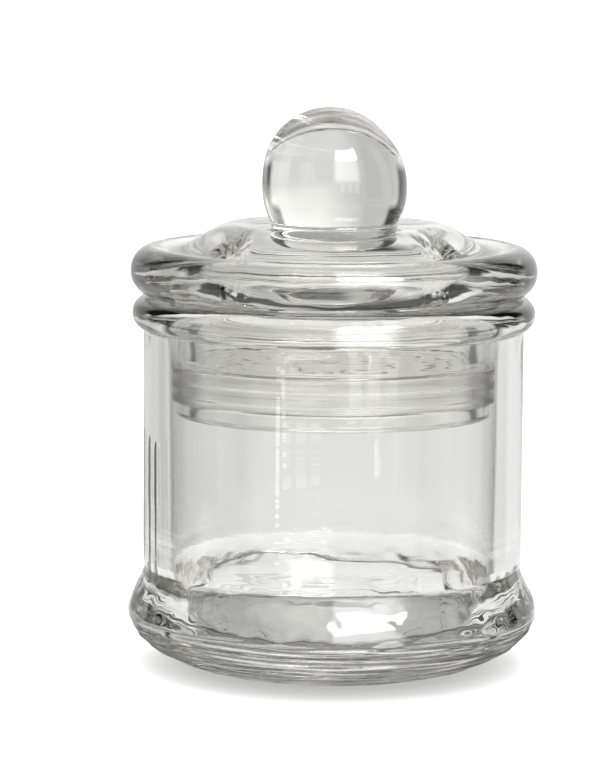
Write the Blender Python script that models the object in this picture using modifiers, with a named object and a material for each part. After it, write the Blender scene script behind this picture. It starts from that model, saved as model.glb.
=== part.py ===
"""Lidded glass canister: glass jar, glass lid with a ball knob, flexible seal ring.

Every piece is a turned solid about the Z axis. Units are metres and +Z is up.
The origin is the middle of the surface that the jar stands on.
"""
import math

import bmesh
import bpy

# Jar body
BODY_RADIUS = 0.0400        # outside of the straight wall
BORE_RADIUS = 0.0344        # inside of the wall at the mouth
BORE_FOOT_RADIUS = 0.0338   # the bore narrows a little towards the floor
RIM_TOP = 0.0782            # height of the ledge that carries the lid
RIM_BEAD_RADIUS = 0.0424    # widest part of the rim bead
RIM_BEAD_CENTRE = 0.0392    # radius of the middle of the bead's section
RIM_BEAD_HALF_HEIGHT = 0.0034
RIM_LIP_ROUND = 0.0012      # rounding from the ledge into the bore
FOOT_RADIUS = 0.0434        # widest part of the flared foot
FOOT_TOP = 0.0218           # height where the wall starts to flare
FOOT_WIDEST = 0.0118        # height of the widest part
RESTING_RADIUS = 0.0208     # outer edge of the flat ring that the jar stands on
RESTING_WIDTH = 0.0030      # flat width of that ring
PUNT_HEIGHT = 0.0012        # hollow under the middle of the base
FLOOR_HEIGHT = 0.0060       # inside floor where it meets its corner
FLOOR_CROWN = 0.0006        # the floor's middle stands a little higher
CORNER_WIDTH = 0.0090       # the bowl-like corner between the floor and the bore
CORNER_HEIGHT = 0.0045

# Lid
CLEARANCE = 0.0003          # gap between pieces that rest on each other
LID_SEAT = RIM_TOP + CLEARANCE
LID_BEAD_CENTRE = 0.0381    # radius of the middle of the edge bead's section
LID_BEAD_HALF_WIDTH = 0.0047
LID_BEAD_HALF_HEIGHT = 0.00515
LID_BEAD_START = 100        # degrees up the bead's section where the valley meets it
SEAT_INNER_RADIUS = 0.0346  # inner edge of the flat that rests on the jar's rim
PLUG_RADIUS = 0.0330        # collar that goes down into the mouth
PLUG_SHOULDER = 0.0770
PLUG_BOTTOM = 0.0539
PLUG_EDGE_ROUND = 0.0010
PLUG_INNER_RADIUS = 0.0288
PLUG_INNER_TOP = 0.0790     # where the hollow starts to close into the dome
CEILING_HEIGHT = 0.0882
CEILING_RADIUS = 0.0150     # the ceiling is flat out to here
DOME_LIP_RADIUS = 0.0210    # the dome is highest here, round the knob's shallow seat
DOME_LIP_HEIGHT = 0.0936
VALLEY_RADIUS = 0.0350      # faint valley between the dome and the edge bead
VALLEY_HEIGHT = 0.0880
KNOB_SEAT_RADIUS = 0.0130
KNOB_SEAT_HEIGHT = 0.0923

# Seal ring in the plug's groove
GROOVE_RADIUS = 0.0316
GROOVE_TOP = 0.0655
GROOVE_BOTTOM = 0.0575
SEAL_INNER_RADIUS = GROOVE_RADIUS + CLEARANCE
SEAL_BAND_RADIUS = 0.0337   # between the fins
SEAL_FIN_RADIUS = BORE_RADIUS - CLEARANCE
SEAL_FINS = 3
SEAL_FIN_FALL = 0.25        # drop of a fin's sloping top, as part of the fin's height

# Knob
KNOB_RADIUS = 0.01545
KNOB_WIDEST = 0.1015        # height of the ball's middle
KNOB_TOP = 0.1180
KNOB_FULLNESS = 2.2         # 2 is an ellipse; more gives fuller shoulders
NECK_RADIUS = 0.0124
NECK_TOP = 0.0931
BALL_CUT_RADIUS = 0.0133    # radius at which the ball runs into the neck

STEPS = 48                  # facets round each turned solid


def arc(centre_r, centre_z, half_r, half_z, start, end, count):
    """Points along an ellipse's arc; angles in degrees, 0 outwards and 90 up."""
    points = []
    for i in range(count + 1):
        angle = math.radians(start + (end - start) * i / count)
        points.append((centre_r + half_r * math.cos(angle), centre_z + half_z * math.sin(angle)))
    return points


def ease(start, end, count):
    """An S curve between two points that starts and ends vertical."""
    points = []
    for i in range(count + 1):
        t = i / count
        blend = t * t * (3.0 - 2.0 * t)
        points.append((start[0] + (end[0] - start[0]) * blend, start[1] + (end[1] - start[1]) * t))
    return points


def slope(start, end, count):
    """An S curve between two points that starts and ends level."""
    return [(r, z) for z, r in ease((start[1], start[0]), (end[1], end[0]), count)]


def clear_material(name, colour, roughness, transmission):
    """A see-through material, from clear glass to cloudy plastic."""
    material = bpy.data.materials.new(name)
    material.use_nodes = True
    shader = material.node_tree.nodes["Principled BSDF"]
    shader.inputs["Base Color"].default_value = (*colour, 1.0)
    shader.inputs["Roughness"].default_value = roughness
    shader.inputs["Metallic"].default_value = 0.0
    shader.inputs["Transmission Weight"].default_value = transmission
    return material


def turned(name, outline, material, collection):
    """A solid turned about Z from an outline of (radius, height) points."""
    mesh = bpy.data.meshes.new(name)
    profile = bmesh.new()
    corners = [profile.verts.new((r, 0.0, z)) for r, z in outline]
    for first, second in zip(corners, corners[1:]):
        profile.edges.new((first, second))
    profile.to_mesh(mesh)
    profile.free()
    mesh.materials.append(material)

    piece = bpy.data.objects.new(name, mesh)
    collection.objects.link(piece)
    screw = piece.modifiers.new("Turn", "SCREW")
    screw.axis = "Z"
    screw.angle = math.tau
    screw.steps = STEPS
    screw.render_steps = STEPS
    screw.use_merge_vertices = True
    screw.merge_threshold = 0.00001
    screw.use_smooth_shade = True
    return piece


def jar_outline():
    """From the middle of the floor up the bore, over the rim and down the outside."""
    floor_edge = BORE_FOOT_RADIUS - CORNER_WIDTH
    rim_half_width = RIM_BEAD_RADIUS - RIM_BEAD_CENTRE
    rim_centre_z = RIM_TOP - RIM_BEAD_HALF_HEIGHT
    wall_angle = math.degrees(math.acos((BODY_RADIUS - RIM_BEAD_CENTRE) / rim_half_width))
    punt_radius = RESTING_RADIUS - RESTING_WIDTH

    outline = slope((0.0, FLOOR_HEIGHT + FLOOR_CROWN), (floor_edge, FLOOR_HEIGHT), 4)
    outline += arc(floor_edge, FLOOR_HEIGHT + CORNER_HEIGHT, CORNER_WIDTH, CORNER_HEIGHT,
                   -90, 0, 6)[1:]
    outline += arc(BORE_RADIUS + RIM_LIP_ROUND, RIM_TOP - RIM_LIP_ROUND,
                   RIM_LIP_ROUND, RIM_LIP_ROUND, 180, 90, 3)
    outline += arc(RIM_BEAD_CENTRE, rim_centre_z, rim_half_width, RIM_BEAD_HALF_HEIGHT,
                   90, -wall_angle, 9)
    outline += ease((BODY_RADIUS, FOOT_TOP), (FOOT_RADIUS, FOOT_WIDEST), 6)
    outline += arc(RESTING_RADIUS, FOOT_WIDEST, FOOT_RADIUS - RESTING_RADIUS, FOOT_WIDEST,
                   0, -90, 8)[1:]
    outline += slope((punt_radius, 0.0), (0.0, PUNT_HEIGHT), 4)
    return outline


def lid_outline():
    """From the knob's seat out over the dome and bead, down the plug and up the hollow."""
    outline = [(0.0, KNOB_SEAT_HEIGHT), (KNOB_SEAT_RADIUS, KNOB_SEAT_HEIGHT)]
    outline += slope((KNOB_SEAT_RADIUS, KNOB_SEAT_HEIGHT), (DOME_LIP_RADIUS, DOME_LIP_HEIGHT), 4)[1:]
    outline += slope((DOME_LIP_RADIUS, DOME_LIP_HEIGHT), (VALLEY_RADIUS, VALLEY_HEIGHT), 7)[1:]
    outline += arc(LID_BEAD_CENTRE, LID_SEAT + LID_BEAD_HALF_HEIGHT,
                   LID_BEAD_HALF_WIDTH, LID_BEAD_HALF_HEIGHT, LID_BEAD_START, -90, 11)
    outline += [(SEAT_INNER_RADIUS, LID_SEAT)]
    outline += [(PLUG_RADIUS, PLUG_SHOULDER), (PLUG_RADIUS, GROOVE_TOP)]
    outline += [(GROOVE_RADIUS, GROOVE_TOP), (GROOVE_RADIUS, GROOVE_BOTTOM)]
    outline += [(PLUG_RADIUS, GROOVE_BOTTOM)]
    outline += arc(PLUG_RADIUS - PLUG_EDGE_ROUND, PLUG_BOTTOM + PLUG_EDGE_ROUND,
                   PLUG_EDGE_ROUND, PLUG_EDGE_ROUND, 0, -90, 2)
    outline += arc(PLUG_INNER_RADIUS + PLUG_EDGE_ROUND, PLUG_BOTTOM + PLUG_EDGE_ROUND,
                   PLUG_EDGE_ROUND, PLUG_EDGE_ROUND, -90, -180, 2)
    outline += arc(CEILING_RADIUS, PLUG_INNER_TOP, PLUG_INNER_RADIUS - CEILING_RADIUS,
                   CEILING_HEIGHT - PLUG_INNER_TOP, 0, 90, 7)
    outline += [(0.0, CEILING_HEIGHT)]
    return outline


def knob_outline():
    """From the top of the ball down to the flat under its neck."""
    rise = KNOB_TOP - KNOB_WIDEST
    outline = []
    upper_steps = 9
    for i in range(upper_steps):
        angle = math.radians(90.0 * i / upper_steps)
        radius = KNOB_RADIUS * math.sin(angle) ** (2.0 / KNOB_FULLNESS)
        height = rise * math.cos(angle) ** (2.0 / KNOB_FULLNESS)
        outline.append((radius, KNOB_WIDEST + height))
    cut_angle = math.degrees(math.acos(BALL_CUT_RADIUS / KNOB_RADIUS))
    outline += arc(0.0, KNOB_WIDEST, KNOB_RADIUS, KNOB_RADIUS, 0, -cut_angle, 4)
    outline += [(NECK_RADIUS, NECK_TOP), (NECK_RADIUS, KNOB_SEAT_HEIGHT + CLEARANCE)]
    outline += [(0.0, KNOB_SEAT_HEIGHT + CLEARANCE)]
    return outline


def seal_outline():
    """A closed section: a thin band with fins that reach out to the bore."""
    top = GROOVE_TOP - CLEARANCE
    bottom = GROOVE_BOTTOM + CLEARANCE
    pitch = (top - bottom) / (2 * SEAL_FINS - 1)
    outline = [(SEAL_INNER_RADIUS, bottom), (SEAL_INNER_RADIUS, top)]
    for i in range(SEAL_FINS):
        fin_top = top - 2 * i * pitch
        outline += [(SEAL_FIN_RADIUS, fin_top - SEAL_FIN_FALL * pitch)]
        outline += [(SEAL_FIN_RADIUS, fin_top - pitch)]
        if i < SEAL_FINS - 1:
            outline += [(SEAL_BAND_RADIUS, fin_top - pitch), (SEAL_BAND_RADIUS, fin_top - 2 * pitch)]
    outline += [(SEAL_INNER_RADIUS, bottom)]
    return outline


def clear_scene():
    for item in list(bpy.data.objects):
        bpy.data.objects.remove(item, do_unlink=True)


def build():
    clear_scene()
    collection = bpy.data.collections.new("glass_canister")
    bpy.context.scene.collection.children.link(collection)

    body_glass = clear_material("body_glass", (0.93, 0.95, 0.94), roughness=0.03, transmission=1.0)
    lid_glass = clear_material("lid_glass", (0.93, 0.95, 0.94), roughness=0.02, transmission=1.0)
    knob_glass = clear_material("knob_glass", (0.94, 0.95, 0.95), roughness=0.02, transmission=1.0)
    seal_plastic = clear_material("seal_plastic", (0.72, 0.73, 0.71), roughness=0.35, transmission=0.5)

    jar = turned("jar_body", jar_outline(), body_glass, collection)
    seal = turned("seal_ring", seal_outline(), seal_plastic, collection)
    lid = turned("lid", lid_outline(), lid_glass, collection)
    knob = turned("knob", knob_outline(), knob_glass, collection)

    seal.parent = jar
    lid.parent = seal
    knob.parent = lid


build()
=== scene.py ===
import math

import bpy
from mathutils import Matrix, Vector, noise


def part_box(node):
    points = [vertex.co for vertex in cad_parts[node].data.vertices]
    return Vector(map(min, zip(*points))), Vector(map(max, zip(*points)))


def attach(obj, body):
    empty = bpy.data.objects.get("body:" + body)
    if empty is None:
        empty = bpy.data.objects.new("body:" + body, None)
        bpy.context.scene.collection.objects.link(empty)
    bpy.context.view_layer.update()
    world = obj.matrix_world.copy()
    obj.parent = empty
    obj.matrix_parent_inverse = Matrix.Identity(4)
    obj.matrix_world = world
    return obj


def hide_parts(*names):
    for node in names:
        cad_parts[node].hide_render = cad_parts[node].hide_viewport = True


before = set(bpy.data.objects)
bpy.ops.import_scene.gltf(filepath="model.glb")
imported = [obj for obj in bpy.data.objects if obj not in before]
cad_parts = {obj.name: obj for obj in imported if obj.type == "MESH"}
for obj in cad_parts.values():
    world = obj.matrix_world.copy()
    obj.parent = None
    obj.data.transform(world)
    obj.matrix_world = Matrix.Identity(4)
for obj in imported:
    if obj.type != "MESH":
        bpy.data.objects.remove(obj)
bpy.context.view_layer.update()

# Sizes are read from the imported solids, in metres.
_, jar_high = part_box("jar_body")
lid_low, lid_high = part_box("lid")
_, knob_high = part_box("knob")
seal_low, seal_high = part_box("seal_ring")

MM = 0.001
SEGMENTS = 480              # facets round each turned piece
ROW_SPACING = 1.6 * MM      # longest stretch between two rows of a mesh

FOOT_RADIUS = jar_high.x
RIM_TOP = jar_high.z
LID_BEAD_RADIUS = lid_high.x
PLUG_BOTTOM = lid_low.z
KNOB_RADIUS = knob_high.x
KNOB_TOP = knob_high.z
SEAL_TOP = seal_high.z
SEAL_BOTTOM = seal_low.z
SEAL_FIN_RADIUS = seal_high.x
GAP = 0.3 * MM              # kept between pieces that rest on each other


# ---------------------------------------------------------------- outlines

def arc(centre_r, centre_z, half_r, half_z, start, end, count):
    """Points along an ellipse's arc; angles in degrees, 0 outwards and 90 up."""
    points = []
    for i in range(count + 1):
        angle = math.radians(start + (end - start) * i / count)
        points.append((centre_r + half_r * math.cos(angle), centre_z + half_z * math.sin(angle)))
    return points


def ease(start, end, count):
    """An S curve between two points that starts and ends vertical."""
    points = []
    for i in range(count + 1):
        t = i / count
        blend = t * t * (3.0 - 2.0 * t)
        points.append((start[0] + (end[0] - start[0]) * blend, start[1] + (end[1] - start[1]) * t))
    return points


def slope(start, end, count):
    """An S curve between two points that starts and ends level."""
    return [(r, z) for z, r in ease((start[1], start[0]), (end[1], end[0]), count)]


def rounded(points, radius, steps=4, sharp=18.0):
    """Rounds each corner that turns by more than `sharp` degrees."""
    result = [points[0]]
    for before, corner, after in zip(points, points[1:], points[2:]):
        a = Vector(before) - Vector(corner)
        b = Vector(after) - Vector(corner)
        if a.length < 1e-7 or b.length < 1e-7:
            continue
        turn = 180.0 - math.degrees(a.angle(b))
        if turn < sharp:
            result.append(corner)
            continue
        reach = min(radius, 0.45 * a.length, 0.45 * b.length)
        first = Vector(corner) + a.normalized() * reach
        last = Vector(corner) + b.normalized() * reach
        for i in range(steps + 1):
            t = i / steps
            spot = first * (1 - t) ** 2 + Vector(corner) * 2 * t * (1 - t) + last * t ** 2
            result.append((spot.x, spot.y))
    result.append(points[-1])
    return result


def filled(points, spacing):
    """Adds points so that no stretch is longer than `spacing`."""
    result = [points[0]]
    for start, end in zip(points, points[1:]):
        length = math.dist(start, end)
        pieces = max(1, math.ceil(length / spacing))
        for i in range(1, pieces + 1):
            t = i / pieces
            result.append((start[0] + (end[0] - start[0]) * t, start[1] + (end[1] - start[1]) * t))
    return result


# ---------------------------------------------------------------- meshes

def turned(name, outline, material, bend=None, closed=False):
    """A solid turned about Z. `bend` moves a point (radius, angle, height) to its place."""
    verts = []
    rows = []
    for r, z in outline:
        if r < 1e-6:
            rows.append([len(verts)])
            verts.append(bend(0.0, 0.0, z) if bend else (0.0, 0.0, z))
            continue
        row = []
        for k in range(SEGMENTS):
            angle = math.tau * k / SEGMENTS
            row.append(len(verts))
            if bend:
                verts.append(bend(r, angle, z))
            else:
                verts.append((r * math.cos(angle), r * math.sin(angle), z))
        rows.append(row)
    pairs = list(zip(rows, rows[1:]))
    if closed:
        pairs.append((rows[-1], rows[0]))
    faces = []
    for upper, lower in pairs:
        for k in range(SEGMENTS):
            n = (k + 1) % SEGMENTS
            if len(upper) == 1:
                faces.append((upper[0], lower[k], lower[n]))
            elif len(lower) == 1:
                faces.append((upper[k], lower[0], upper[n]))
            else:
                faces.append((upper[k], lower[k], lower[n], upper[n]))
    mesh = bpy.data.meshes.new(name)
    mesh.from_pydata(verts, [], faces)
    mesh.validate()
    mesh.shade_smooth()
    mesh.materials.append(material)
    piece = bpy.data.objects.new(name, mesh)
    bpy.context.scene.collection.objects.link(piece)
    return piece


def ripple(r, angle, z, width, height, seed):
    """Smooth noise on a turned surface, from -1 to 1, with its own size round and up."""
    spot = Vector((r * math.cos(angle) / width, r * math.sin(angle) / width, z / height + seed))
    return noise.noise(spot)


def wave(r, angle, z, depth, width, height, seed, middle=0.0):
    """A ripple of a given depth about `middle` times that depth."""
    return depth * (middle + ripple(r, angle, z, width, height, seed))


def dent(r, angle, z, depth, width, height, seed):
    """A ripple that only takes glass away, from nothing to `depth`."""
    return depth * (0.5 + 0.5 * ripple(r, angle, z, width, height, seed))


# ---------------------------------------------------------------- glass jar

WALL_RADIUS = 40.0 * MM
BORE_RADIUS = 34.4 * MM         # at the mouth
BORE_FOOT_RADIUS = 33.8 * MM    # at the bottom
RIM_CENTRE = 39.2 * MM          # radius of the middle of the rim bead's section
RIM_HALF_WIDTH = 3.2 * MM
RIM_HALF_HEIGHT = 3.4 * MM
LIP_ROUND = 1.2 * MM            # from the ledge that carries the lid into the bore
FOOT_TOP = 21.8 * MM            # height where the wall starts to flare
FOOT_WIDEST = 11.8 * MM         # height of the widest part of the foot
RESTING_RADIUS = 20.8 * MM      # outer edge of the ring that the jar stands on
RESTING_WIDTH = 3.0 * MM
PUNT_HEIGHT = 1.2 * MM          # hollow under the middle of the base
FLOOR_HEIGHT = 6.0 * MM
FLOOR_CROWN = 0.6 * MM          # the floor's middle stands a little higher
CORNER_WIDTH = 9.0 * MM         # the bowl-like corner between the floor and the bore
SETTLE_HEIGHT = 10.5 * MM       # the line where the hot bottom met the wall
LEDGE_WIDTH = 1.3 * MM          # nearly level ledge along that line
LEDGE_RISE = 0.25 * MM
SETTLE_RADIUS = BORE_FOOT_RADIUS - LEDGE_WIDTH
JAR_EDGE_ROUND = 0.8 * MM

# That line climbs highest at the back: the angles it climbs and drops at, in degrees,
# how far it climbs, and over how many degrees.
CLIMB = (36.0, 154.0, 5.4 * MM, 12.0)
# Swells along that line: angle, half width in degrees, lift.
SETTLE_SWELLS = [
    (122.0, 20.0, 2.1 * MM),
    (98.0, 6.0, 0.7 * MM),
    (52.0, 12.0, -0.5 * MM),
]
SETTLE_FADE = 22.0 * MM         # the bore above the line is lifted with it, less and less

# Upright press marks in the bore: angle, half width in degrees, depth.
BORE_MARKS = [
    (182.0, 1.6, 0.17 * MM),
    (190.5, 1.5, 0.19 * MM),
    (196.5, 1.4, 0.15 * MM),
]
MARK_DRIFT = 2.5                # degrees that the marks wander sideways
MARK_WANDER = 24 * MM           # height over which they wander
MARK_PATCH = 6 * MM             # height over which they come and go
MARK_START = 5 * MM             # they start this far above the line, and grow over
MARK_GROW = 8 * MM
MARK_FADE = 6 * MM              # they fade out over this much below the plug

# Unevenness of the moulded glass: depth, size round the jar, size up the jar, seed.
FLOOR_SWELL = (0.45 * MM, 9 * MM, 9 * MM, 3.1)
FLOOR_WAVE = (0.08 * MM, 3.2 * MM, 3.2 * MM, 4.5)
BORE_WAVE = (0.10 * MM, 13 * MM, 60 * MM, 7.7)
MOUTH_DENTS = (0.08 * MM, 4.5 * MM, 3 * MM, 6.8)
WALL_WAVE = (0.04 * MM, 18 * MM, 22 * MM, 1.3)
RIM_DENTS = (0.10 * MM, 5 * MM, 2.5 * MM, 2.9)
RIM_ZONE = 7.5 * MM             # the rim bead and the wall just under it
FOOT_DENTS = [(0.12 * MM, 14 * MM, 9 * MM, 5.2), (0.12 * MM, 4 * MM, 4 * MM, 9.6)]
BASE_WAVE = (0.05 * MM, 10 * MM, 10 * MM, 6.4)

# Finer dents all over the foot, deepest at its shoulder: the shoulder's height and half height,
# depth in mm elsewhere and what the shoulder adds, and sizes and seed as above.
SHOULDER_HEIGHT = 16.5 * MM
SHOULDER_HALF_HEIGHT = 6.0 * MM
SHOULDER_DEPTHS = (0.05, 0.33)
SHOULDER_DENTS = (3.0 * MM, 2.6 * MM, 4.9)
# Moulded rings round the heel: depth, how fast they follow each other, how fast they change round.
RING_DEPTH = 0.42 * MM
RING_RATE = 14.0
RING_CHANGE = 2.2
RING_START = 0.12               # radians below the widest part where they reach full depth


def jar_outline():
    """From the middle of the floor up the bore, over the rim and down the outside."""
    rim_z = RIM_TOP - RIM_HALF_HEIGHT
    wall_angle = math.degrees(math.acos((WALL_RADIUS - RIM_CENTRE) / RIM_HALF_WIDTH))
    floor_edge = SETTLE_RADIUS - CORNER_WIDTH
    corner_height = SETTLE_HEIGHT - FLOOR_HEIGHT
    points = slope((0.0, FLOOR_HEIGHT + FLOOR_CROWN), (floor_edge, FLOOR_HEIGHT), 16)
    points += arc(floor_edge, SETTLE_HEIGHT, CORNER_WIDTH, corner_height, -90, 0, 24)[1:]
    points += [(BORE_FOOT_RADIUS, SETTLE_HEIGHT + LEDGE_RISE)]
    points += arc(BORE_RADIUS + LIP_ROUND, RIM_TOP - LIP_ROUND, LIP_ROUND, LIP_ROUND, 180, 90, 8)
    points += arc(RIM_CENTRE, rim_z, RIM_HALF_WIDTH, RIM_HALF_HEIGHT, 90, -wall_angle, 28)
    points += ease((WALL_RADIUS, FOOT_TOP), (FOOT_RADIUS, FOOT_WIDEST), 20)
    points += arc(RESTING_RADIUS, FOOT_WIDEST, FOOT_RADIUS - RESTING_RADIUS, FOOT_WIDEST,
                  0, -90, 110)[1:]
    points += slope((RESTING_RADIUS - RESTING_WIDTH, 0.0), (0.0, PUNT_HEIGHT), 12)
    return filled(rounded(points, JAR_EDGE_ROUND), ROW_SPACING)


def turn_between(angle, centre):
    """Degrees from `centre` to an angle in radians, from -180 to 180."""
    return (math.degrees(angle) - centre + 180.0) % 360.0 - 180.0


def bump_at(angle, centre, half_width):
    """1 at `centre` and fading away from it; the angle in radians, the others in degrees."""
    return math.exp(-(turn_between(angle, centre) / half_width) ** 2)


def share(value):
    """A value held between 0 and 1."""
    return min(1.0, max(0.0, value))


def settle_lift(angle):
    """How far the line between wall and bottom climbs at an angle."""
    start, end, climb, softness = CLIMB
    middle = 0.5 * (start + end)
    inwards = 0.5 * (end - start) - abs(turn_between(angle, middle))
    step = share(0.5 + inwards / softness)
    lift = climb * step * step * (3.0 - 2.0 * step)
    return lift + sum(h * bump_at(angle, a, w) for a, w, h in SETTLE_SWELLS)


def floor_lift(r, angle, z):
    """How far the floor, its corner and the lower bore stand off the plain outline."""
    corner = share(1.0 - (SETTLE_RADIUS - r) / CORNER_WIDTH)
    lift = settle_lift(angle) * corner ** 3
    lift += wave(SETTLE_RADIUS, angle, 0.0, *FLOOR_SWELL) * corner
    lift += wave(r, angle, 0.0, *FLOOR_WAVE)
    return lift * (1.0 - max(0.0, (z - SETTLE_HEIGHT) / SETTLE_FADE))


def mark_depth(angle, z):
    """Depth of the upright press marks, which wander and come and go with height."""
    lower = share((PLUG_BOTTOM - z) / MARK_FADE)
    upper = share((z - SETTLE_HEIGHT - MARK_START) / MARK_GROW)
    drift = MARK_DRIFT * ripple(0.0, 0.0, z, MM, MARK_WANDER, 2.2)
    uneven = max(0.0, 0.8 + 1.6 * ripple(0.0, 0.0, z, MM, MARK_PATCH, 6.1))
    marks = sum(d * bump_at(angle, a + drift, w) for a, w, d in BORE_MARKS)
    return lower * upper * uneven * marks


def foot_bend(r, angle, z):
    """Dents all over the foot, and rings round its heel that lie along the surface."""
    for sizes in FOOT_DENTS:
        r -= dent(r, angle, z, *sizes)
    least, more = SHOULDER_DEPTHS
    shoulder = max(0.0, 1.0 - abs(z - SHOULDER_HEIGHT) / SHOULDER_HALF_HEIGHT)
    r -= dent(r, angle, z, (least + more * shoulder) * MM, *SHOULDER_DENTS)
    if z < FOOT_WIDEST:
        across = (r - RESTING_RADIUS) / (FOOT_RADIUS - RESTING_RADIUS)
        heel = math.atan2(1.0 - z / FOOT_WIDEST, across)
        east = RING_CHANGE * math.cos(angle)
        north = RING_CHANGE * math.sin(angle)
        rings = noise.noise(Vector((east, north, RING_RATE * heel)))
        depth = RING_DEPTH * (0.6 + rings) * min(1.0, heel / RING_START)
        r -= depth * math.cos(heel)
        z += depth * math.sin(heel)
    return r, z


def jar_bend(r, angle, z):
    """Uneven glass: ripples in the wall and rim, and a floor that was never level."""
    inside = r < BORE_RADIUS + 0.2 * MM and z > FLOOR_HEIGHT - 0.5 * MM
    if inside and z < SETTLE_HEIGHT + SETTLE_FADE:
        z += floor_lift(r, angle, z)
    if inside and r > 0.8 * BORE_FOOT_RADIUS:
        r += wave(r, angle, z, *BORE_WAVE, middle=0.6)
        if z > SEAL_TOP + 1.0 * MM:
            r += dent(r, angle, z, *MOUTH_DENTS)
        r += mark_depth(angle, z)
    elif FOOT_TOP < z < RIM_TOP - RIM_ZONE:
        r += wave(r, angle, z, *WALL_WAVE)
    elif z > FOOT_TOP and r > BORE_RADIUS + 1.5 * MM:
        r -= dent(r, angle, z, *RIM_DENTS)
    elif FOOT_TOP >= z > 0.5 * MM and r > RESTING_RADIUS:
        r, z = foot_bend(r, angle, z)
    elif z < FLOOR_HEIGHT - 2 * MM and r < RESTING_RADIUS - RESTING_WIDTH:
        z += wave(r, angle, z, *BASE_WAVE, middle=0.5)
    return (r * math.cos(angle), r * math.sin(angle), z)


# ---------------------------------------------------------------- lid and knob

BEAD_CENTRE = 38.1 * MM         # radius of the middle of the edge bead's section
BEAD_HALF_WIDTH = LID_BEAD_RADIUS - BEAD_CENTRE
BEAD_HALF_HEIGHT = 5.15 * MM
BEAD_START = 100                # degrees up the bead's section where the valley meets it
LID_SEAT = RIM_TOP + GAP
SEAT_INNER_RADIUS = 34.6 * MM
PLUG_RADIUS = 33.0 * MM         # collar that goes down into the mouth
PLUG_SHOULDER = 77.0 * MM
PLUG_INNER_RADIUS = 28.8 * MM
PLUG_INNER_TOP = 79.0 * MM      # where the hollow starts to close into the dome
PLUG_EDGE_ROUND = 1.0 * MM
GROOVE_RADIUS = 31.6 * MM       # the seal's groove
CEILING_HEIGHT = 88.2 * MM
CEILING_RADIUS = 15.0 * MM      # the ceiling is flat out to here
DOME_LIP = (21.0 * MM, 93.6 * MM)       # highest ring of the dome: radius, height
VALLEY = (35.0 * MM, 88.0 * MM)         # between the dome and the edge bead
NECK_FOOT = (13.5 * MM, 92.3 * MM)      # where the knob's neck meets the dome
COLLAR_CENTRE = (12.6 * MM, 93.2 * MM)  # a small bead round the neck
COLLAR_ROUND = 0.7 * MM
LID_EDGE_ROUND = 0.6 * MM
KNOB_WIDEST = 101.5 * MM        # height of the ball's middle
KNOB_FULLNESS = 2.2             # 2 is an ellipse; more gives fuller shoulders
BALL_CUT_RADIUS = 13.4 * MM     # radius at which the ball runs into the neck

# The ball is out of round by this share of its radius, from its lower edge up.
BALL_START = 93.0 * MM
BALL_FADE = 6.0 * MM
BALL_WOBBLE = 0.012
BALL_SWELL = 11 * MM
# Its flattened shoulder: the direction from the ball's middle, half width in degrees, depth.
FLAT_SHOULDER = Vector((0.67, 0.0, 0.74))
FLAT_WIDTH = 30.0
FLAT_DEPTH = 1.3 * MM

# Unevenness of the pressed glass: depth, size round the lid, size up the lid, seed.
DOME_WAVE = (0.08 * MM, 11 * MM, 11 * MM, 8.1)
PLUG_DENTS = (0.08 * MM, 4 * MM, 2.5 * MM, 1.9)
BEAD_DENTS = (0.10 * MM, 5 * MM, 2.5 * MM, 3.7)

# Wrinkled patches where the lid's glass chilled: angle, half width in degrees.
WRINKLES = [(224.0, 7.0), (316.0, 7.0)]
WRINKLE_RADIUS = 29.5 * MM
WRINKLE_REACH = 2.6 * MM
WRINKLE_DEPTH = 2.6 * MM
WRINKLE_SIZE = 2.2 * MM


def knob_points():
    """The ball from its top down to the narrow neck."""
    rise = KNOB_TOP - KNOB_WIDEST
    points = []
    upper_steps = 26
    for i in range(upper_steps):
        angle = math.radians(90.0 * i / upper_steps)
        radius = KNOB_RADIUS * math.sin(angle) ** (2.0 / KNOB_FULLNESS)
        points.append((radius, KNOB_WIDEST + rise * math.cos(angle) ** (2.0 / KNOB_FULLNESS)))
    cut = math.degrees(math.acos(BALL_CUT_RADIUS / KNOB_RADIUS))
    points += arc(0.0, KNOB_WIDEST, KNOB_RADIUS, KNOB_RADIUS, 0, -cut, 12)
    return points


def lid_outline():
    """Knob, neck, dome, edge bead, plug with the seal's groove, and the hollow inside."""
    points = knob_points()
    points += arc(*COLLAR_CENTRE, COLLAR_ROUND, COLLAR_ROUND, 65, -60, 8)
    points += [NECK_FOOT]
    points += slope(NECK_FOOT, DOME_LIP, 10)[1:]
    points += slope(DOME_LIP, VALLEY, 16)[1:]
    points += arc(BEAD_CENTRE, LID_SEAT + BEAD_HALF_HEIGHT, BEAD_HALF_WIDTH, BEAD_HALF_HEIGHT,
                  BEAD_START, -90, 34)
    points += [(SEAT_INNER_RADIUS, LID_SEAT), (PLUG_RADIUS, PLUG_SHOULDER)]
    points += [(PLUG_RADIUS, SEAL_TOP + GAP), (GROOVE_RADIUS, SEAL_TOP + GAP)]
    points += [(GROOVE_RADIUS, SEAL_BOTTOM - GAP), (PLUG_RADIUS, SEAL_BOTTOM - GAP)]
    edge = PLUG_EDGE_ROUND
    points += arc(PLUG_RADIUS - edge, PLUG_BOTTOM + edge, edge, edge, 0, -90, 6)
    points += arc(PLUG_INNER_RADIUS + edge, PLUG_BOTTOM + edge, edge, edge, -90, -180, 6)
    points += arc(CEILING_RADIUS, PLUG_INNER_TOP, PLUG_INNER_RADIUS - CEILING_RADIUS,
                  CEILING_HEIGHT - PLUG_INNER_TOP, 0, 90, 20)
    points += [(0.0, CEILING_HEIGHT)]
    return filled(rounded(points, LID_EDGE_ROUND), ROW_SPACING)


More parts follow.
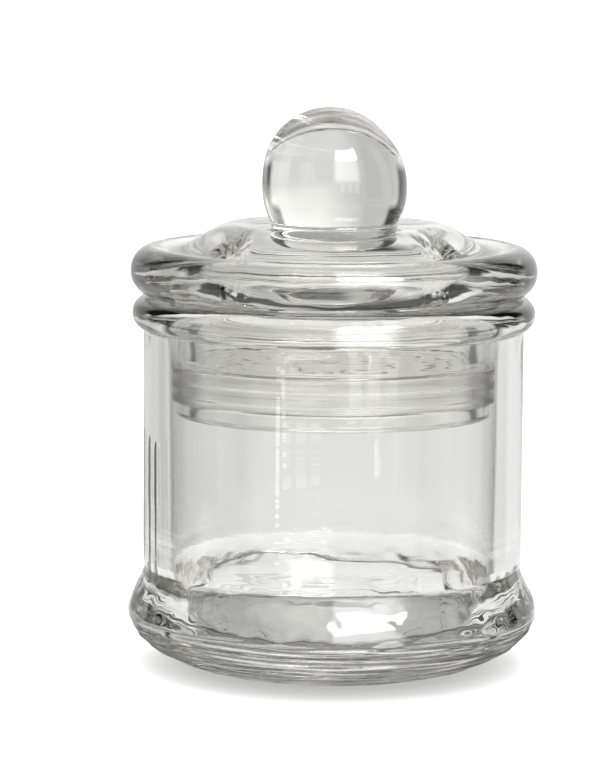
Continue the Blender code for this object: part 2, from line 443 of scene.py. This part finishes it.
def ball_bend(r, angle, z):
    """A ball that is a little out of round, with one flattened shoulder."""
    fade = min(1.0, (z - BALL_START) / BALL_FADE)
    r *= 1.0 + fade * BALL_WOBBLE * (ripple(r, angle, z, BALL_SWELL, BALL_SWELL, 2.4) - 0.6)
    out = Vector((r * math.cos(angle), r * math.sin(angle), z - KNOB_WIDEST))
    off_flat = math.degrees(out.angle(FLAT_SHOULDER, 0.0))
    out -= out.normalized() * fade * FLAT_DEPTH * math.exp(-(off_flat / FLAT_WIDTH) ** 2)
    return (out.x, out.y, out.z + KNOB_WIDEST)


def wrinkle_depth(r, angle):
    """How deep the wrinkled patches are at a spot on the dome."""
    patch = sum(bump_at(angle, a, w) for a, w in WRINKLES)
    patch *= math.exp(-((r - WRINKLE_RADIUS) / WRINKLE_REACH) ** 2)
    return WRINKLE_DEPTH * patch * (0.6 + ripple(r, angle, 0.0, WRINKLE_SIZE, MM, 8.4))


def lid_bend(r, angle, z):
    """Uneven glass: ball, dome, edge bead, and the plug above the seal; the rest is true."""
    if z > BALL_START and r < KNOB_RADIUS + 1.0 * MM:
        return ball_bend(r, angle, z)
    if r < LID_BEAD_RADIUS - 9.0 * MM and z > PLUG_INNER_TOP:
        z += wave(r, angle, z, *DOME_WAVE)
        if z > CEILING_HEIGHT or r > PLUG_INNER_RADIUS:
            z -= wrinkle_depth(r, angle)
    elif abs(r - PLUG_RADIUS) < 0.3 * MM and SEAL_TOP + 1.0 * MM < z:
        r -= dent(r, angle, z, *PLUG_DENTS)
    elif r > LID_BEAD_RADIUS - 7.0 * MM:
        r -= dent(r, angle, z, *BEAD_DENTS)
    return (r * math.cos(angle), r * math.sin(angle), z)


# ---------------------------------------------------------------- seal ring

SEAL_FINS = 3
SEAL_FIN_FALL = 0.25            # drop of a fin's sloping top, as part of the fin's height
SEAL_BAND_RADIUS = 33.7 * MM    # between the fins
SEAL_EDGE_ROUND = 0.35 * MM


def seal_outline():
    """A closed section: a band gripping the plug, and soft fins."""
    pitch = (SEAL_TOP - SEAL_BOTTOM) / (2 * SEAL_FINS - 1)
    inner = GROOVE_RADIUS + GAP
    middle = 0.5 * (SEAL_TOP + SEAL_BOTTOM)
    points = [(inner, middle), (inner, SEAL_TOP)]
    for i in range(SEAL_FINS):
        top = SEAL_TOP - 2 * i * pitch
        points += [(SEAL_FIN_RADIUS, top - SEAL_FIN_FALL * pitch), (SEAL_FIN_RADIUS, top - pitch)]
        if i < SEAL_FINS - 1:
            points += [(SEAL_BAND_RADIUS, top - pitch), (SEAL_BAND_RADIUS, top - 2 * pitch)]
    points += [(inner, SEAL_BOTTOM), (inner, middle)]
    return rounded(points, SEAL_EDGE_ROUND)[:-1]


# ---------------------------------------------------------------- materials

def node_of(tree, kind, x, y, **values):
    node = tree.nodes.new(kind)
    node.location = (x, y)
    for name, value in values.items():
        setattr(node, name, value)
    return node


GLASS_TINT = (0.995, 0.995, 0.985)
GLASS_ABSORPTION = (0.82, 0.82, 0.80)
GLASS_IOR = 1.5
GLASS_SHADOW = 0.97             # share of the light that passes to the floor
GLASS_DULLEST = 0.05            # roughness of the dullest patches
STREAK_SCALE = (14.0, 14.0, 260.0)
PATCH_SCALE = 45.0
SEAL_IOR = 1.42
SEAL_ROUGHNESS = 0.16
SEAL_TRANSMISSION = 0.96
SEAL_DARK = (0.90, 0.90, 0.885)
SEAL_PALE = (0.98, 0.98, 0.97)
SEAL_GRAIN = 0.1 * MM


def glass(name, density, streak, seed):
    """Clear moulded glass: grey with depth, fine level streaks, and finger-dull patches.

    `density` is how fast it greys, `streak` the height of its streaks.
    """
    material = bpy.data.materials.new(name)
    material.use_nodes = True
    tree = material.node_tree
    tree.nodes.clear()
    link = tree.links.new
    out = node_of(tree, "ShaderNodeOutputMaterial", 900, 0)
    shader = node_of(tree, "ShaderNodeBsdfPrincipled", 300, 0)
    shader.inputs["Transmission Weight"].default_value = 1.0
    shader.inputs["IOR"].default_value = GLASS_IOR
    shader.inputs["Metallic"].default_value = 0.0

    place = node_of(tree, "ShaderNodeTexCoord", -900, 0)
    stretch = node_of(tree, "ShaderNodeMapping", -750, -300)
    stretch.inputs["Scale"].default_value = STREAK_SCALE
    link(place.outputs["Object"], stretch.inputs["Vector"])
    streaks = node_of(tree, "ShaderNodeTexNoise", -600, -300)
    streaks.inputs["Scale"].default_value = 1.0
    streaks.inputs["Detail"].default_value = 3.0
    link(stretch.outputs["Vector"], streaks.inputs["Vector"])
    bump = node_of(tree, "ShaderNodeBump", 0, -300)
    bump.inputs["Strength"].default_value = 0.35
    bump.inputs["Distance"].default_value = streak
    link(streaks.outputs["Fac"], bump.inputs["Height"])
    link(bump.outputs["Normal"], shader.inputs["Normal"])

    patches = node_of(tree, "ShaderNodeTexNoise", -600, 100)
    patches.inputs["Scale"].default_value = PATCH_SCALE + seed
    patches.inputs["Detail"].default_value = 3.0
    link(place.outputs["Object"], patches.inputs["Vector"])
    dull = node_of(tree, "ShaderNodeMapRange", -200, 100)
    dull.inputs["From Min"].default_value = 0.55
    dull.inputs["From Max"].default_value = 0.85
    dull.inputs["To Min"].default_value = 0.0
    dull.inputs["To Max"].default_value = GLASS_DULLEST
    link(patches.outputs["Fac"], dull.inputs["Value"])
    link(dull.outputs["Result"], shader.inputs["Roughness"])

    colour = node_of(tree, "ShaderNodeMix", -200, 350, data_type="RGBA")
    colour.inputs["A"].default_value = (*GLASS_TINT, 1.0)
    colour.inputs["B"].default_value = (*[c * 0.97 for c in GLASS_TINT], 1.0)
    link(patches.outputs["Fac"], colour.inputs["Factor"])
    link(colour.outputs["Result"], shader.inputs["Base Color"])

    clear = node_of(tree, "ShaderNodeBsdfTransparent", 300, 250)
    clear.inputs["Color"].default_value = (GLASS_SHADOW, GLASS_SHADOW, GLASS_SHADOW, 1.0)
    path = node_of(tree, "ShaderNodeLightPath", 300, 500)
    mix = node_of(tree, "ShaderNodeMixShader", 650, 100)
    link(path.outputs["Is Shadow Ray"], mix.inputs["Fac"])
    link(shader.outputs["BSDF"], mix.inputs[1])
    link(clear.outputs["BSDF"], mix.inputs[2])
    link(mix.outputs["Shader"], out.inputs["Surface"])

    volume = node_of(tree, "ShaderNodeVolumeAbsorption", 650, -200)
    volume.inputs["Color"].default_value = (*GLASS_ABSORPTION, 1.0)
    volume.inputs["Density"].default_value = density
    link(volume.outputs["Volume"], out.inputs["Volume"])
    return material


def seal_plastic():
    """Translucent, satin, flexible plastic, slightly mottled where it presses on the glass."""
    material = bpy.data.materials.new("seal_plastic_look")
    material.use_nodes = True
    tree = material.node_tree
    link = tree.links.new
    shader = tree.nodes["Principled BSDF"]
    shader.inputs["Roughness"].default_value = SEAL_ROUGHNESS
    shader.inputs["IOR"].default_value = SEAL_IOR
    shader.inputs["Transmission Weight"].default_value = SEAL_TRANSMISSION
    place = node_of(tree, "ShaderNodeTexCoord", -900, 0)
    mottle = node_of(tree, "ShaderNodeTexNoise", -700, 0)
    mottle.inputs["Scale"].default_value = 160.0
    mottle.inputs["Detail"].default_value = 3.0
    link(place.outputs["Object"], mottle.inputs["Vector"])
    shades = node_of(tree, "ShaderNodeValToRGB", -450, 0)
    dark, pale = shades.color_ramp.elements
    dark.color = (*SEAL_DARK, 1.0)
    dark.position = 0.3
    pale.color = (*SEAL_PALE, 1.0)
    pale.position = 0.7
    link(mottle.outputs["Fac"], shades.inputs["Fac"])
    link(shades.outputs["Color"], shader.inputs["Base Color"])
    bump = node_of(tree, "ShaderNodeBump", -200, -300)
    bump.inputs["Strength"].default_value = 0.3
    bump.inputs["Distance"].default_value = SEAL_GRAIN
    link(mottle.outputs["Fac"], bump.inputs["Height"])
    link(bump.outputs["Normal"], shader.inputs["Normal"])
    return material


# ---------------------------------------------------------------- build the pieces

body_glass = glass("body_glass_look", density=42.0, streak=0.10 * MM, seed=0.0)
lid_glass = glass("lid_glass_look", density=46.0, streak=0.18 * MM, seed=3.0)
seal_look = seal_plastic()

jar = turned("glass_jar", jar_outline(), body_glass, jar_bend)
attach(jar, "jar")
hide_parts("jar_body")

lid = turned("glass_lid_with_knob", lid_outline(), lid_glass, lid_bend)
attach(lid, "lid")
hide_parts("lid", "knob")

seal = turned("finned_seal", seal_outline(), seal_look, closed=True)
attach(seal, "seal")
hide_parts("seal_ring")


# ---------------------------------------------------------------- floor, light and camera

def maths(tree, operation, a, b=None, c=None, clamp=False):
    """A Math node on numbers or sockets; gives its output socket."""
    node = node_of(tree, "ShaderNodeMath", 0, 0, operation=operation, use_clamp=clamp)
    for socket, value in zip(node.inputs, (a, b, c)):
        if value is None:
            continue
        if isinstance(value, (int, float)):
            socket.default_value = value
        else:
            tree.links.new(value, socket)
    return node.outputs[0]


FLOOR_RADIUS = 4.0
FLOOR_GREY = 0.68
TABLE_RADIUS = 0.12             # the round table that the glass sees
TABLE_EDGE = 0.05               # it fades out over this much
TABLE_SPAN = 0.10               # radius that its greys are given up to
TABLE_WARMTH = 0.993            # blue in its grey, as a share of the red
# The table's grey from its middle out, as (radius, grey): painted shade, pale in the middle and
# painted dark as a contact shadow where the foot comes near it.
TABLE_GREYS_WITH_PAINTED_SHADOW = [(0.0, 0.97), (0.012, 0.97), (0.022, 0.56), (0.029, 0.50),
               (0.037, 0.08), (0.052, 0.08), (0.062, 0.44)]


def floor_material():
    """A pale matt floor. Seen through the glass it is a small round table with a painted contact
    shadow near the foot, with the studio beyond.
    """
    material = bpy.data.materials.new("pale_floor")
    material.use_nodes = True
    tree = material.node_tree
    tree.nodes.clear()
    link = tree.links.new
    plain = node_of(tree, "ShaderNodeBsdfDiffuse", 0, 200)
    plain.inputs["Color"].default_value = (FLOOR_GREY, FLOOR_GREY, FLOOR_GREY, 1.0)
    table = node_of(tree, "ShaderNodeBsdfDiffuse", 0, 0)
    beyond = node_of(tree, "ShaderNodeBsdfTransparent", 0, -200)

    place = node_of(tree, "ShaderNodeTexCoord", -900, 0)
    reach = node_of(tree, "ShaderNodeVectorMath", -700, 0, operation="LENGTH")
    link(place.outputs["Object"], reach.inputs[0])
    # painted shade: the table's grey ramp darkens it as a contact shadow round the foot
    shades = node_of(tree, "ShaderNodeValToRGB", -300, 0)
    ramp = shades.color_ramp
    while len(ramp.elements) < len(TABLE_GREYS_WITH_PAINTED_SHADOW):
        ramp.elements.new(0.5)
    for stop, (radius, grey) in zip(ramp.elements, TABLE_GREYS_WITH_PAINTED_SHADOW):
        stop.position = radius / TABLE_SPAN
        stop.color = (grey, grey, TABLE_WARMTH * grey, 1.0)
    link(maths(tree, "MULTIPLY", reach.outputs["Value"], 1.0 / TABLE_SPAN), shades.inputs["Fac"])
    link(shades.outputs["Color"], table.inputs["Color"])
    past = maths(tree, "SUBTRACT", reach.outputs["Value"], TABLE_RADIUS)
    edge = maths(tree, "MULTIPLY", past, 1.0 / TABLE_EDGE, clamp=True)
    seen = node_of(tree, "ShaderNodeMixShader", 250, -50)
    link(edge, seen.inputs["Fac"])
    link(table.outputs[0], seen.inputs[1])
    link(beyond.outputs[0], seen.inputs[2])

    path = node_of(tree, "ShaderNodeLightPath", 250, 400)
    mix = node_of(tree, "ShaderNodeMixShader", 500, 0)
    link(path.outputs["Is Camera Ray"], mix.inputs["Fac"])
    link(seen.outputs[0], mix.inputs[1])
    link(plain.outputs[0], mix.inputs[2])
    out = node_of(tree, "ShaderNodeOutputMaterial", 750, 0)
    link(mix.outputs[0], out.inputs["Surface"])
    return material


def add_floor():
    bpy.ops.mesh.primitive_circle_add(vertices=96, radius=FLOOR_RADIUS, fill_type="NGON")
    floor = bpy.context.object
    floor.name = "floor"
    floor.data.materials.append(floor_material())


# What the glass sees, by direction in degrees. Azimuth is 0 behind the object as the camera
# sees it, and positive to the right.
BACKDROP_LEVEL = 0.93
HORIZON_GAIN = 0.2              # the backdrop is brighter by this much
HORIZON_RISE = 20.0             # this far up, in degrees
OVERHEAD_LEVEL = 0.06
OVERHEAD_START = 30.0           # degrees up where it starts to darken
OVERHEAD_FADE = 20.0
BELOW_LEVEL = 0.25
BELOW_START = -32.0             # degrees where it starts to darken downwards
BELOW_FADE = 10.0
ROOM_LEVEL = 0.42
ROOM = (180.0, 0.0, 48.0, 90.0, 4.0)    # the room behind the camera: a row without its level
STUDIO_TINT = (1.0, 1.0, 0.992)
OPEN_LEVEL = 1.5                # the even tent that the camera and the floor see
# Each row: azimuth, elevation, half width, half height, soft edge, level.
FLAGS = [
    (-28.0, 0.0, 26.0, 80.0, 16.0, 0.70),
    (-50.0, 28.0, 14.0, 20.0, 5.0, 0.05),
    (50.0, 28.0, 14.0, 20.0, 5.0, 0.05),
    (-65.0, 17.0, 18.0, 36.0, 7.0, 0.05),
    (65.0, 17.0, 18.0, 36.0, 7.0, 0.05),
    (-115.0, 17.0, 17.0, 36.0, 6.0, 0.05),
    (115.0, 17.0, 17.0, 36.0, 6.0, 0.05),
]
WINDOWS = [
    (159.0, 23.0, 24.5, 23.5, 9.0, 7.0),
    (156.0, 40.0, 22.0, 9.0, 3.0, 20.0),
    (144.5, -2.0, 4.0, 6.3, 0.8, 2.6),
    (155.5, -2.0, 4.0, 6.3, 0.8, 2.6),
    (166.5, -2.0, 4.0, 6.3, 0.8, 2.6),
    (-147.0, -8.5, 1.5, 1.2, 0.5, 5.0),
]


def add_world():
    """A pale tent that darkens overhead, with dark flags, and windows behind the camera."""
    world = bpy.data.worlds.new("studio")
    bpy.context.scene.world = world
    world.use_nodes = True
    tree = world.node_tree
    tree.nodes.clear()
    link = tree.links.new

    place = node_of(tree, "ShaderNodeTexCoord", -1200, 0)
    split = node_of(tree, "ShaderNodeSeparateXYZ", -1000, 0)
    link(place.outputs["Generated"], split.inputs[0])
    x, y, z = split.outputs
    degrees = 180.0 / math.pi
    azimuth = maths(tree, "MULTIPLY", maths(tree, "ARCTAN2", x, y), degrees)
    elevation = maths(tree, "MULTIPLY", maths(tree, "ARCSINE", z), degrees)

    def patch(az, el, half_az, half_el, soft):
        """1 inside a rectangle of directions, fading to 0 over `soft` degrees."""
        turn = maths(tree, "WRAP", maths(tree, "SUBTRACT", azimuth, az), 180.0, -180.0)
        away = maths(tree, "ABSOLUTE", turn)
        across = maths(tree, "SUBTRACT", half_az, away)
        across = maths(tree, "MULTIPLY", across, 1.0 / soft, clamp=True)
        up = maths(tree, "ABSOLUTE", maths(tree, "SUBTRACT", elevation, el))
        along = maths(tree, "SUBTRACT", half_el, up)
        along = maths(tree, "MULTIPLY", along, 1.0 / soft, clamp=True)
        return maths(tree, "MULTIPLY", across, along)

    def towards(level, goal, amount):
        """Moves `level` to `goal` by `amount`, from 0 to 1."""
        gap = maths(tree, "SUBTRACT", goal, level)
        return maths(tree, "ADD", level, maths(tree, "MULTIPLY", gap, amount))

    rise = maths(tree, "MULTIPLY", elevation, 1.0 / HORIZON_RISE, clamp=True)
    level = maths(tree, "ADD", BACKDROP_LEVEL, maths(tree, "MULTIPLY", rise, HORIZON_GAIN))
    above = maths(tree, "SUBTRACT", elevation, OVERHEAD_START)
    overhead = maths(tree, "MULTIPLY", above, 1.0 / OVERHEAD_FADE, clamp=True)
    level = towards(level, OVERHEAD_LEVEL, overhead)
    under = maths(tree, "SUBTRACT", BELOW_START, elevation)
    below = maths(tree, "MULTIPLY", under, 1.0 / BELOW_FADE, clamp=True)
    level = towards(level, BELOW_LEVEL, below)
    for az, el, half_az, half_el, soft, goal in FLAGS:
        level = towards(level, goal, patch(az, el, half_az, half_el, soft))
    level = towards(level, ROOM_LEVEL, patch(*ROOM))
    for az, el, half_az, half_el, soft, goal in WINDOWS:
        level = towards(level, goal, patch(az, el, half_az, half_el, soft))

    backdrop = node_of(tree, "ShaderNodeBackground", 600, 200)
    backdrop.inputs["Color"].default_value = (1.0, 1.0, 1.0, 1.0)
    backdrop.inputs["Strength"].default_value = OPEN_LEVEL
    studio = node_of(tree, "ShaderNodeBackground", 600, 0)
    studio.inputs["Color"].default_value = (*STUDIO_TINT, 1.0)
    link(level, studio.inputs["Strength"])
    path = node_of(tree, "ShaderNodeLightPath", 600, 500)
    glossy = path.outputs["Is Glossy Ray"]
    off_glass = maths(tree, "MAXIMUM", glossy, path.outputs["Is Transmission Ray"])
    mix = node_of(tree, "ShaderNodeMixShader", 850, 0)
    link(off_glass, mix.inputs["Fac"])
    link(backdrop.outputs[0], mix.inputs[1])
    link(studio.outputs[0], mix.inputs[2])
    out = node_of(tree, "ShaderNodeOutputWorld", 1100, 0)
    link(mix.outputs[0], out.inputs["Surface"])


LAMP_ENERGY = 3.6
LAMP_ANGLE = 60.0               # degrees; its shadows are soft


def add_soft_light():
    """Even light from above for the floor and the seal; it leaves no glint in the glass."""
    lamp = bpy.data.lights.new("overhead", "SUN")
    lamp.energy = LAMP_ENERGY
    lamp.angle = math.radians(LAMP_ANGLE)
    light = bpy.data.objects.new("overhead", lamp)
    light.visible_glossy = False
    light.visible_transmission = False
    bpy.context.scene.collection.objects.link(light)


CAMERA_DISTANCE = 0.750
CAMERA_HEIGHT = 0.1587
CAMERA_LENS = 215.3             # mm, on a sensor 36 mm wide
TILT_DOWN = 7.475               # degrees, as are the next two
TURN_LEFT = 0.536
ROLL = 0.35


def add_camera():
    """Three quarters of a metre in front, looking a little down."""
    camera = bpy.data.objects.new("camera", bpy.data.cameras.new("camera"))
    bpy.context.scene.collection.objects.link(camera)
    camera.data.sensor_fit = "HORIZONTAL"
    camera.data.sensor_width = 36.0
    camera.data.lens = CAMERA_LENS
    camera.data.clip_start = 0.01
    camera.data.clip_end = 20.0
    camera.location = (0.0, -CAMERA_DISTANCE, CAMERA_HEIGHT)
    camera.rotation_mode = "XYZ"
    camera.rotation_euler = (math.radians(90.0 - TILT_DOWN), 0.0, math.radians(TURN_LEFT))
    camera.rotation_euler.rotate_axis("Z", math.radians(ROLL))
    bpy.context.scene.camera = camera


add_floor()
add_world()
add_soft_light()
add_camera()

scene = bpy.context.scene
scene.view_settings.view_transform = "Standard"
scene.cycles.caustics_reflective = False
scene.cycles.caustics_refractive = False
scene.cycles.max_bounces = 24
scene.cycles.transmission_bounces = 24
scene.cycles.glossy_bounces = 12
scene.cycles.transparent_max_bounces = 24
